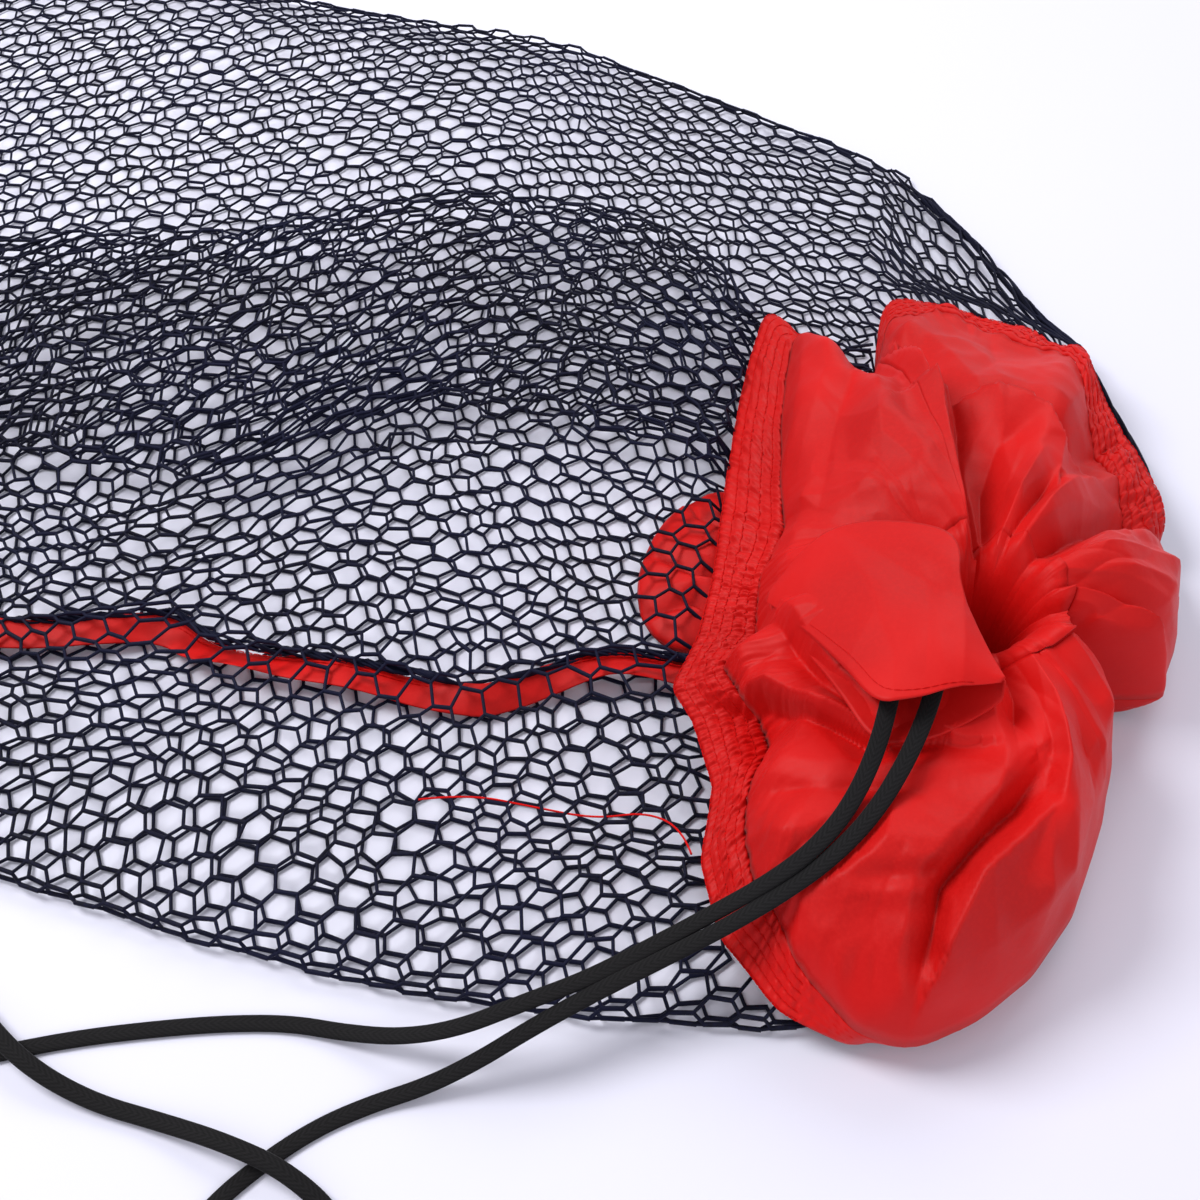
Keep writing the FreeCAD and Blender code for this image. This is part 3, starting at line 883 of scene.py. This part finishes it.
def plain_collar(turns):
    """The collar before its folds: rings of points for the hem, the cloth and the band."""
    angles = np.linspace(0, 2 * math.pi, turns, endpoint=False)
    edge = soften(edge_reach(angles), turns / 320)
    near_brim = np.minimum(between(angles, 117, 300), between(angles, 80, 262, 20))
    far_brim = np.maximum(between(angles, 55, 87), 0.8 * between(angles, 87, 112))
    brim = soften(np.maximum(near_brim, far_brim), turns / 300)
    width = BAND_WIDTH * (1 + 0.35 * between(angles, 50, 90, 12)
                          + 0.7 * between(angles, 112, 162, 16))
    inner_edge = edge - width * brim
    lifted = between(angles, 40, 114, 14)
    foot = (13 + 11 * brim + 4 * lifted) * MM
    top = HEM_PROFILE[-1][1] * MM
    hem = [(np.full(turns, r * MM), np.full(turns, z * MM)) for r, z in HEM_PROFILE]
    start = LIP_REACH / inner_edge
    cloth = []
    for share in np.linspace(0, 1, 76) ** 0.94:
        out = start + (1 - start) * share
        rise = (1 - np.clip(out, 0, 1) ** (3.6 - 0.8 * lifted)) ** (0.66 + 0.44 * lifted)
        cloth.append((out * inner_edge, foot + (top - foot) * rise))
    band = []
    for share in np.linspace(0, 1, 3 * BAND_ROWS + 1):
        tucked = inner_edge - 9 * MM * (1 - brim) * share ** 1.4
        radius = tucked * (1 - brim) + (inner_edge + width * share) * brim
        end = (3 + 13 * brim + 9 * lifted) * MM
        band.append((radius, foot + (end - foot) * share))
    return angles, edge, brim, hem, cloth, band


def ring_points(angles, rings):
    radius = np.array([ring[0] for ring in rings])
    height = np.array([ring[1] for ring in rings])
    return np.stack([MOUTH[0] * MM + radius * np.cos(angles),
                     MOUTH[1] * MM + radius * np.sin(angles), height], axis=2)


def fold_height(spot, line, height, left, right, start, end):
    """A straight-sided ridge or valley along a line, in metres."""
    line = np.array(line, float) * MM
    step = np.linalg.norm(np.diff(line, axis=0), axis=1)
    run = np.concatenate([[0], np.cumsum(step)]) / step.sum()
    best = np.full(len(spot), 1e9)
    side = np.zeros(len(spot))
    place = np.zeros(len(spot))
    for i, (a, b) in enumerate(zip(line, line[1:])):
        way = b - a
        along = np.clip(((spot - a) @ way) / (way @ way), 0, 1)
        offset = spot - (a + along[:, None] * way)
        distance = np.linalg.norm(offset, axis=1)
        nearer = distance < best
        best[nearer] = distance[nearer]
        side[nearer] = (way[0] * offset[:, 1] - way[1] * offset[:, 0])[nearer]
        place[nearer] = (run[i] + along * (run[i + 1] - run[i]))[nearer]
    width = np.where(side > 0, left, right) * MM
    strength = np.interp(place, (0, 0.3, 0.75, 1), (start, 1, 1, end))
    slope = np.clip(1 - best / width, 0, 1)
    return height * MM * strength * slope * (0.75 + 0.25 * slope)


def fold(points, edge, brim, cords):
    """Stands the collar's folds, puckers and creases out of its plain shape."""
    flat = points.reshape(-1, 3)
    shift = np.stack([wander(flat, 0.045, 61), wander(flat, 0.045, 62)], 1) * 2.5 * MM
    spot = flat[:, :2] + shift
    from_mouth = spot - np.array(MOUTH) * MM
    radius = np.linalg.norm(from_mouth, axis=1)
    bearing = np.arctan2(from_mouth[:, 1], from_mouth[:, 0])
    depth = np.zeros(len(flat))
    for line, height, left, right, start, end in FOLDS:
        depth += fold_height(spot, line, height, left, right, start, end)
    rng = np.random.default_rng(11)
    bend = wander(flat, 0.022, 22)
    for pucker in rng.uniform(-math.pi, math.pi, PUCKERS):
        lean = rng.uniform(-0.5, 0.5)
        deep, span = rng.uniform(1.5, 4.2) * MM, rng.uniform(16, 34) * MM
        turned = bearing + lean * radius / (60 * MM) + 0.10 * bend
        away = np.abs((turned - pucker + math.pi) % (2 * math.pi) - math.pi)
        reach = away * np.maximum(radius, 8 * MM)
        depth -= 1.6 * deep * np.exp(-reach / (2.0 * MM)) * np.exp(-radius / span)
    for _ in range(CREASES):
        aim, lean = rng.uniform(-math.pi, math.pi), rng.uniform(-0.9, 0.9)
        inner, length = rng.uniform(24, 100), rng.uniform(22, 60)
        tail = np.array(MOUTH) + inner * np.array((math.cos(aim), math.sin(aim)))
        tip = tail + length * np.array((math.cos(aim + lean), math.sin(aim + lean)))
        high, left, right = rng.uniform(-2.6, 2.6), rng.uniform(4, 15), rng.uniform(4, 15)
        depth += fold_height(spot, (tail, tip), high, left, right, 0.1, 0.1)
    body = np.clip((radius - 26 * MM) / (26 * MM), 0, 1)
    facet = 1 - 2 * np.abs(wander(flat * (1, 1, 1.3), 0.042, 32))
    crease = 1 - 2 * np.abs(wander(flat * (1, 1, 1.2), 0.019, 33))
    fan = np.stack([np.cos(bearing) * 0.06, np.sin(bearing) * 0.06, radius * 0.3], 1)
    spoke = 1 - 2 * np.abs(wander(fan, 0.017, 34))
    depth += (wander(flat, 0.075, 31) * 4.0 + facet * 2.8 + crease * 1.0) * MM * body
    depth += spoke * 1.7 * MM * np.clip((radius - 14 * MM) / (16 * MM), 0, 1)
    to_edge = (edge[None] * np.ones((len(points), 1))).ravel() - radius
    shirred = np.exp(-np.maximum(to_edge - BAND_WIDTH, 0) / (8 * MM))
    ripple = np.cos(bearing * 122 + bend * 7) + np.cos(bearing * 171 + bend * 15)
    shirred *= (brim[None] * np.ones((len(points), 1))).ravel()
    depth += ripple * 0.4 * MM * shirred * body
    depth *= np.clip(to_edge / (12 * MM), 0.25, 1)
    out = from_mouth / np.maximum(radius, 1e-6)[:, None]
    lean = 0.15 + 0.75 * np.clip(radius / (radius + to_edge), 0, 1) ** 2
    way = np.concatenate([out * lean[:, None], np.ones((len(flat), 1))], axis=1)
    flat = flat + way / np.linalg.norm(way, axis=1)[:, None] * depth[:, None]
    flat[:, 2] = np.maximum(flat[:, 2], 1.4 * MM)
    for line in cords:
        flat = press_under(flat, line)
    return flat.reshape(points.shape)


def press_under(flat, line):
    """Fabric or net that lies under the cord gives way to it."""
    thick = sizes().cord_thickness
    flat = flat.copy()
    reach = 14 * MM
    box_low, box_high = line.min(0) - reach, line.max(0) + reach
    near = np.nonzero(np.all((flat[:, :2] > box_low[:2]) & (flat[:, :2] < box_high[:2]), 1))[0]
    away = np.linalg.norm(flat[near, None, :2] - line[None, :, :2], axis=2)
    closest = away.argmin(1)
    distance = away[np.arange(len(near)), closest]
    half_width = sizes().cord_width / 2 + 0.8 * MM
    limit = line[closest, 2] - thick / 2 - 0.9 * MM + np.maximum(distance - half_width, 0) * 0.9
    limit[distance > reach] = 1e9
    flat[near, 2] = np.minimum(flat[near, 2], np.maximum(limit, 1.0 * MM))
    return flat


def cloth_piece(name, points, thickness, closed):
    """A piece of the collar's fabric from rows of points, with its thickness."""
    rows, turns = points.shape[:2]
    index = np.arange(rows * turns).reshape(rows, turns)
    if closed:
        index = np.hstack([index, index[:, :1]])
    quads = np.stack([index[:-1, :-1], index[1:, :-1], index[1:, 1:], index[:-1, 1:]], axis=2)
    obj = fast_piece(name, points.reshape(-1, 3), quads.reshape(-1, 4).copy(), "fabric", "sack")
    outward = np.linalg.norm(np.diff(points, axis=0), axis=2).mean(1)
    around = np.linalg.norm(np.diff(points, axis=1), axis=2).max(0)
    u = np.concatenate([[0], np.cumsum(around)])
    v = np.concatenate([[0], np.cumsum(outward)])
    lay_uv(obj, np.stack(np.meshgrid(u, v), axis=2).reshape(-1, 2))
    thicken(obj, thickness)
    return obj


def thicken(obj, thickness):
    bpy.ops.object.select_all(action="DESELECT")
    bpy.context.view_layer.objects.active = obj
    obj.select_set(True)
    solid = obj.modifiers.new("cloth", "SOLIDIFY")
    solid.thickness = thickness
    solid.offset = -1
    bpy.ops.object.modifier_apply(modifier="cloth")


def stitch_piece(name, lines, lift, length, radius):
    """A row of machine stitches, each a short raised thread, along each line of points."""
    starts, ends = [], []
    for line in lines:
        step = np.linalg.norm(np.diff(line, axis=0), axis=1)
        along = np.concatenate([[0], np.cumsum(step)])
        places = np.arange(0, along[-1] - length, length * 1.28)
        for store, place in ((starts, places), (ends, places + length)):
            store.append(np.stack([np.interp(place, along, line[:, k]) for k in range(3)], 1))
    start, end = np.concatenate(starts), np.concatenate(ends)
    start[:, 2] += lift
    end[:, 2] += lift
    middle = (start + end) / 2
    middle[:, 2] += radius * 1.1
    points, quads = bar_mesh(np.concatenate([start, middle]), np.concatenate([middle, end]),
                             np.full(2 * len(start), radius))
    return fast_piece(name, points, quads, "thread", "sack")


class SACK_OT_collar(bpy.types.Operator):
    """Add the collar, drawn shut: its two panels, the gathered hem and the shirred band"""
    bl_idname = "sack.collar"
    bl_label = "Collar"

    def execute(self, context):
        cords = [cord_line(LEG_A), cord_line(LEG_B)]
        angles, edge, brim, hem, cloth, _ = plain_collar(PANEL_TURNS)
        hem_points = fold(ring_points(angles, hem), edge, brim, cords)
        gathers = cloth_piece("hem_channel_gathers", hem_points, CLOTH, True)
        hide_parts("hem_channel", "drawcord_in_channel")
        points = fold(ring_points(angles, cloth), edge, brim, cords)
        first, last = [int(round(bearing / 360 * PANEL_TURNS)) for bearing in PANEL_ENDS]
        far = np.arange(first, last + 1) % PANEL_TURNS
        near = np.arange(last, first + PANEL_TURNS + 1) % PANEL_TURNS
        for name, node, columns in (("collar_panel_far", "collar_far_panel", far),
                                    ("collar_panel_near", "collar_near_panel", near)):
            panel = cloth_piece(name, points[:, columns], CLOTH, False)
            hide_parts(node)
        self.add_band(cords)
        self.add_fold_inside()
        return {"FINISHED"}

    def add_band(self, cords):
        """The band: rows of gathering stitches with the cloth puffed between them."""
        angles, edge, brim, _, _, band = plain_collar(BAND_TURNS)
        points = fold(ring_points(angles, band), edge, brim, cords)
        rows = len(band)
        share = np.arange(rows)[:, None] / (rows - 1)
        puff = np.abs(np.sin(share * math.pi * BAND_ROWS))
        row_number = np.floor(share * BAND_ROWS - 1e-6)
        flat = points[0]
        bend = wander(flat, 0.009, 71)[None]
        bend_wide = wander(flat, 0.030, 72)[None]
        pucker = np.sin(angles[None] * 290 + bend * 5 + row_number * 2.1)
        pucker = pucker * 0.6 + np.sin(angles[None] * 173 + bend * 9 + row_number * 4.7) * 0.5
        lift = (puff * (0.8 + 0.75 * pucker) + 0.5 * bend_wide) * MM * (0.3 + 0.7 * brim[None])
        points[:, :, 2] += lift * (share > 0)
        strip = cloth_piece("joining_band_shirred", points, 2 * CLOTH, True)
        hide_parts("joining_band")
        shown = (brim > 0.6).astype(int)
        starts_and_ends = np.nonzero(np.diff(np.concatenate([[0], shown, [0]])))[0]
        lines = [points[row, first:last] for row in range(3, rows, 3)
                 for first, last in zip(starts_and_ends[::2], starts_and_ends[1::2])]
        sewing = stitch_piece("band_stitches", lines, 0.2 * MM, 2.6 * MM, 0.00022)
        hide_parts("band_stitch_rows")

    def add_fold_inside(self):
        """A fold of the collar that hangs back into the sack and shows through the net."""
        shares = np.linspace(0.002, 1, 40)
        turns = 120
        turn = np.linspace(0, 2 * math.pi, turns, endpoint=False)
        middle = np.array((272, -68)) * MM
        reach = np.array((27, 44)) * MM
        out = shares[:, None, None] * np.stack([np.cos(turn), np.sin(turn)], 1)[None]
        spot = middle + reach * out
        height = (3.4 + 9.0 * np.sqrt(np.clip(1 - shares ** 2.4, 0, 1)))[:, None] * MM
        points = np.concatenate([spot, height[:, :, None] * np.ones((1, turns, 1))], axis=2)
        flat = points.reshape(-1, 3)
        dents = (wander(flat, 0.03, 81) * 2.4 - 1.6 * np.abs(wander(flat, 0.02, 82))) * MM
        points[:, :, 2] += dents.reshape(points.shape[:2]) * (1 - shares[:, None] ** 4)
        for line in (((250, -30), (262, -46), (290, -52)), ((246, -70), (268, -78), (292, -74)),
                     ((256, -100), (272, -92), (290, -96))):
            crease = fold_height(flat[:, :2], line, -4.5, 9, 3, 0.7, 0.7)
            points[:, :, 2] += crease.reshape(points.shape[:2])
        points[:, :, 2] = np.maximum(points[:, :, 2], 2.6 * MM)
        cloth_piece("collar_fold_inside", points, CLOTH, True)


# ---------------------------------------------------------------- the hem's fold over the cord
FOLD_TOP = ((303, -107, 45), (309, -97, 54), (320, -84, 63), (345, -82, 73), (365, -88, 77),
            (368, -118, 77), (389, -145, 76))
FOLD_LIP = ((303, -111, 44), (319, -129, 57), (337, -151, 68), (351, -170, 76), (362, -165, 78),
            (374, -156, 78), (388, -147, 75.5))
UNDER_LIP = ((306, -113, 42), (320, -132, 53), (338, -155, 63), (353, -174, 65), (365, -171, 66),
             (378, -162, 67), (390, -149, 71))
FOLD_ROWS = 46
FOLD_COLUMNS = 130
FOLD_CREASES = (            # as FOLDS
    (((320, -88), (338, -118), (353, -150), (356, -166)), 3.0, 20, 22, 0.3, 0.8),
    (((322, -88), (350, -108), (376, -122)), -2.2, 12, 12, 0.2, 0.6),
    (((366, -96), (372, -126), (376, -154)), 2.4, 10, 12, 0.3, 0.9),
)


def loft(top, bottom, columns, shares, crown):
    """Rows of points from one line to another, bowed upwards between them."""
    top = resample(smooth_line([tuple(np.array(p) * MM) for p in top]), columns)
    bottom = resample(smooth_line([tuple(np.array(p) * MM) for p in bottom]), columns)
    points = top[None] + (bottom - top)[None] * shares[:, None, None]
    ends = np.sin(np.linspace(0, math.pi, columns)) ** 0.5
    points[:, :, 2] += crown * np.sin(math.pi * shares)[:, None] * ends[None]
    return points


def resample(line, count):
    step = np.linalg.norm(np.diff(line, axis=0), axis=1)
    along = np.concatenate([[0], np.cumsum(step)])
    even = np.linspace(0, along[-1], count)
    return np.stack([np.interp(even, along, line[:, k]) for k in range(3)], 1)


class SACK_OT_hem_fold(bpy.types.Operator):
    """Add the fold of the hem that the cord's legs come out from, with its stitching"""
    bl_idname = "sack.hem_fold"
    bl_label = "Hem fold"

    def execute(self, context):
        shares = np.linspace(0, 1, FOLD_ROWS)
        upper = loft(FOLD_TOP, FOLD_LIP, FOLD_COLUMNS, shares, 3.0 * MM)
        flat = upper.reshape(-1, 3)
        fall = np.array([fold_height(flat[:, :2], *crease) for crease in FOLD_CREASES]).sum(0)
        fall += (1 - 2 * np.abs(wander(flat, 0.03, 52))) * 0.8 * MM
        edges = np.sin(np.linspace(0, math.pi, FOLD_COLUMNS)) ** 0.5
        upper[:, :, 2] += fall.reshape(upper.shape[:2]) * edges[None]
        upper_piece = cloth_piece("hem_fold_over_cord", upper, 0.6 * MM, False)
        under = loft(FOLD_TOP, UNDER_LIP, FOLD_COLUMNS, shares, -4.0 * MM)
        under[:, :, 2] -= 2.2 * MM
        for line in (cord_line(LEG_A), cord_line(LEG_B)):
            under = press_under(under.reshape(-1, 3), line).reshape(under.shape)
        lower_piece = cloth_piece("hem_fold_under_cord", under, 0.7 * MM, False)
        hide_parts("hem_cord_sleeve")
        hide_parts("hem_cord_sleeve")
        seam = upper[int(FOLD_ROWS * 0.93)]
        sewing = stitch_piece("hem_stitches", [seam[34:-8]], 0.04 * MM, 2.4 * MM, 0.00014)
        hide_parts("hem_stitch_row")
        return {"FINISHED"}


# ---------------------------------------------------------------- seam tape, base, thread
BINDING_WIDTH = 11 * MM
BINDING_THICKNESS = 3.0 * MM
THREAD_WIDTH = 0.7 * MM
THREAD_THICKNESS = 0.6 * MM


class SACK_OT_seams(bpy.types.Operator):
    """Add the side seam's tape inside the net, the base binding and the loose thread"""
    bl_idname = "sack.seams"
    bl_label = "Seams"

    def execute(self, context):
        line = smooth_line([(x * MM, y * MM, SEAM_HEIGHT) for x, y in SIDE_SEAM])
        line = resample(line, 420)
        line[:, 2] += 1.6 * MM * np.sin(line[:, 0] * 55) + 0.8 * MM * np.sin(line[:, 0] * 130)
        line[:, 1] -= sizes().tape_width * 0.42
        lean = 0.35 * np.sin(line[:, 0] * 38) + 0.2 * np.sin(line[:, 0] * 90 + 1)
        tape = flat_tube("side_seam_tape_ribbon", line, sizes().tape_width, 0.7 * MM,
                         "fabric", "sack", lean)
        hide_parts("side_seam_tape")
        _, side, _ = frames_along(line)
        rows = [line + side * (sizes().tape_width * share) for share in (0.38, 0.26)]
        sewing = stitch_piece("side_seam_stitches", rows, 0.5 * MM, 2.6 * MM, 0.00025)
        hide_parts("side_seam_stitching")
        low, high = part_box("base_seam_binding")
        ys = np.linspace(low.y, high.y, 260)
        base = np.stack([np.full_like(ys, (low.x + high.x) / 2 + 1 * MM), ys,
                         (low.z + high.z) / 2 + (2.4 + 0.8 * np.sin(ys * 60)) * MM], 1)
        binding = flat_tube("base_binding_tape", base, BINDING_WIDTH, BINDING_THICKNESS,
                            "fabric", "sack", 1.2 + 0.12 * np.sin(ys * 45))
        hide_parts("base_seam_binding")
        stitch = base + np.array((1.6 * MM, 0, 1.5 * MM))
        sewn = stitch_piece("base_stitches", [stitch], 0.2 * MM, 2.8 * MM, 0.00028)
        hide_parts("base_seam_stitching")
        low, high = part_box("loose_seam_thread")
        from_start = ((0, 1, 12), (16, 8, 13), (40, 10, 13), (62, 12, 13))
        from_end = ((-6, 2, 14), (8, -2, 16), (14, -12, 18))
        route = [(low.x + x * MM, low.y + y * MM, z * MM) for x, y, z in from_start]
        route += [(high.x + x * MM, high.y + y * MM, z * MM) for x, y, z in from_end]
        loose = flat_tube("loose_thread_end", smooth_line(route), THREAD_WIDTH,
                          THREAD_THICKNESS, "thread", "sack")
        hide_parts("loose_seam_thread")
        return {"FINISHED"}


# ---------------------------------------------------------------- the stage
CAMERA_PLACE = (0.361, -0.484, 0.489)
CAMERA_ELEVATION = 50.0
CAMERA_AZIMUTH = 18.0
CAMERA_LENS = 48.0
FLOOR_REACH = 6.0
LAMPS = (                   # name, place, what it is aimed at, its width and its power in watts
    ("key_lamp", (-0.9, -0.1, 1.5), (0.3, -0.05, 0), 0.9, 27),
    ("fill_lamp", (1.5, -1.0, 1.1), (0.3, 0, 0), 1.4, 7),
    ("back_lamp", (0.5, 1.6, 1.5), (0.3, 0, 0), 1.2, 15),
)
SKY_COLOUR = (0.93, 0.94, 1.0, 1.0)
SKY_STRENGTH = 0.52


def area_lamp(name, place, target, size, power):
    data = bpy.data.lights.new(name, "AREA")
    data.shape = "DISK"
    data.size = size
    data.energy = power
    lamp = bpy.data.objects.new(name, data)
    bpy.context.scene.collection.objects.link(lamp)
    lamp.location = place
    aim = Vector(target) - Vector(place)
    lamp.rotation_euler = aim.to_track_quat("-Z", "Y").to_euler()


class SACK_OT_camera(bpy.types.Operator):
    """Add the camera"""
    bl_idname = "sack.camera"
    bl_label = "Camera"

    def execute(self, context):
        data = bpy.data.cameras.new("camera")
        data.lens = CAMERA_LENS
        data.sensor_width = 36.0
        data.clip_start = 0.01
        camera = bpy.data.objects.new("camera", data)
        context.scene.collection.objects.link(camera)
        camera.location = CAMERA_PLACE
        camera.rotation_euler = (math.radians(90 - CAMERA_ELEVATION), 0,
                                 math.radians(CAMERA_AZIMUTH))
        context.scene.camera = camera
        return {"FINISHED"}


class SACK_OT_stage(bpy.types.Operator):
    """Add the floor and the soft studio light"""
    bl_idname = "sack.stage"
    bl_label = "Stage"

    def execute(self, context):
        mesh = bpy.data.meshes.new("floor")
        corners = [(x * FLOOR_REACH, y * FLOOR_REACH, 0)
                   for x, y in ((-1, -1), (1, -1), (1, 1), (-1, 1))]
        mesh.from_pydata(corners, [], [(0, 1, 2, 3)])
        mesh.materials.append(material("floor"))
        floor = bpy.data.objects.new("floor", mesh)
        context.scene.collection.objects.link(floor)
        for lamp in LAMPS:
            area_lamp(*lamp)
        world = bpy.data.worlds.new("studio")
        world.use_nodes = True
        backdrop = world.node_tree.nodes["Background"]
        backdrop.inputs["Color"].default_value = SKY_COLOUR
        backdrop.inputs["Strength"].default_value = SKY_STRENGTH
        context.scene.world = world
        context.scene.view_settings.view_transform = "Standard"
        return {"FINISHED"}


class SACK_PT_panel(bpy.types.Panel):
    """Lists the pieces of the sack"""
    bl_idname = "SACK_PT_panel"
    bl_label = "Net sack"
    bl_space_type = "VIEW_3D"
    bl_region_type = "UI"
    bl_category = "Net sack"

    def draw(self, context):
        for operator in OPERATORS:
            self.layout.operator(operator.bl_idname)


OPERATORS = (SACK_OT_camera, SACK_OT_drawcord, SACK_OT_netting, SACK_OT_collar,
             SACK_OT_hem_fold, SACK_OT_seams, SACK_OT_stage)
CLASSES = (SackSizes, SackColours) + OPERATORS + (SACK_PT_panel,)


def register():
    for cls in CLASSES:
        bpy.utils.register_class(cls)
    bpy.types.Scene.sack_sizes = bpy.props.PointerProperty(type=SackSizes)
    bpy.types.Scene.sack_colours = bpy.props.PointerProperty(type=SackColours)


def unregister():
    del bpy.types.Scene.sack_colours
    del bpy.types.Scene.sack_sizes
    for cls in reversed(CLASSES):
        bpy.utils.unregister_class(cls)


def main():
    register()
    for operator in OPERATORS:
        group, name = operator.bl_idname.split(".")
        getattr(getattr(bpy.ops, group), name)()


if __name__ == "__main__":
    main()
